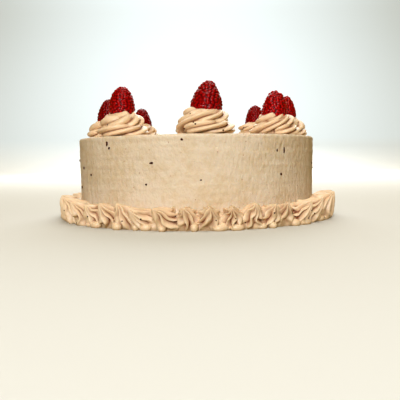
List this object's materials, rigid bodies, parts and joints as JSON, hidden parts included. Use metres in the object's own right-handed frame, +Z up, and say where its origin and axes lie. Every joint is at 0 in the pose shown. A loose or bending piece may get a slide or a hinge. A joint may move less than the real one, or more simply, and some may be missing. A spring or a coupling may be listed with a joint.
{
  "type": "raspberry cake",
  "caption": "Round layer cake with a smooth raspberry buttercream coat, a piped star border round its foot and rosettes on top that each carry a raspberry.",
  "frame": {"origin": "middle of the cake's underside, on the surface that it stands on", "axes": "+Z up through the middle of the cake; -Y is the front, where one rosette stands nearly in the middle; +X is to the right seen from the front"},
  "size_m": [0.2757, 0.2742, 0.1244],
  "materials": {
    "coat": "smoothed buttercream, satin",
    "piped_cream": "piped buttercream, satin",
    "raspberry": "fresh raspberry skin"
  },
  "bodies": {
    "root": {"cake": "coat", "star_border": "piped_cream", "rosette_1": "piped_cream", "rosette_2": "piped_cream", "rosette_3": "piped_cream", "rosette_4": "piped_cream", "rosette_5": "piped_cream", "rosette_6": "piped_cream", "rosette_7": "piped_cream", "rosette_8": "piped_cream", "raspberry_1": "raspberry", "raspberry_2": "raspberry", "raspberry_3": "raspberry", "raspberry_4": "raspberry", "raspberry_5": "raspberry", "raspberry_6": "raspberry", "raspberry_7": "raspberry", "raspberry_8": "raspberry"}
  },
  "joints": []
}
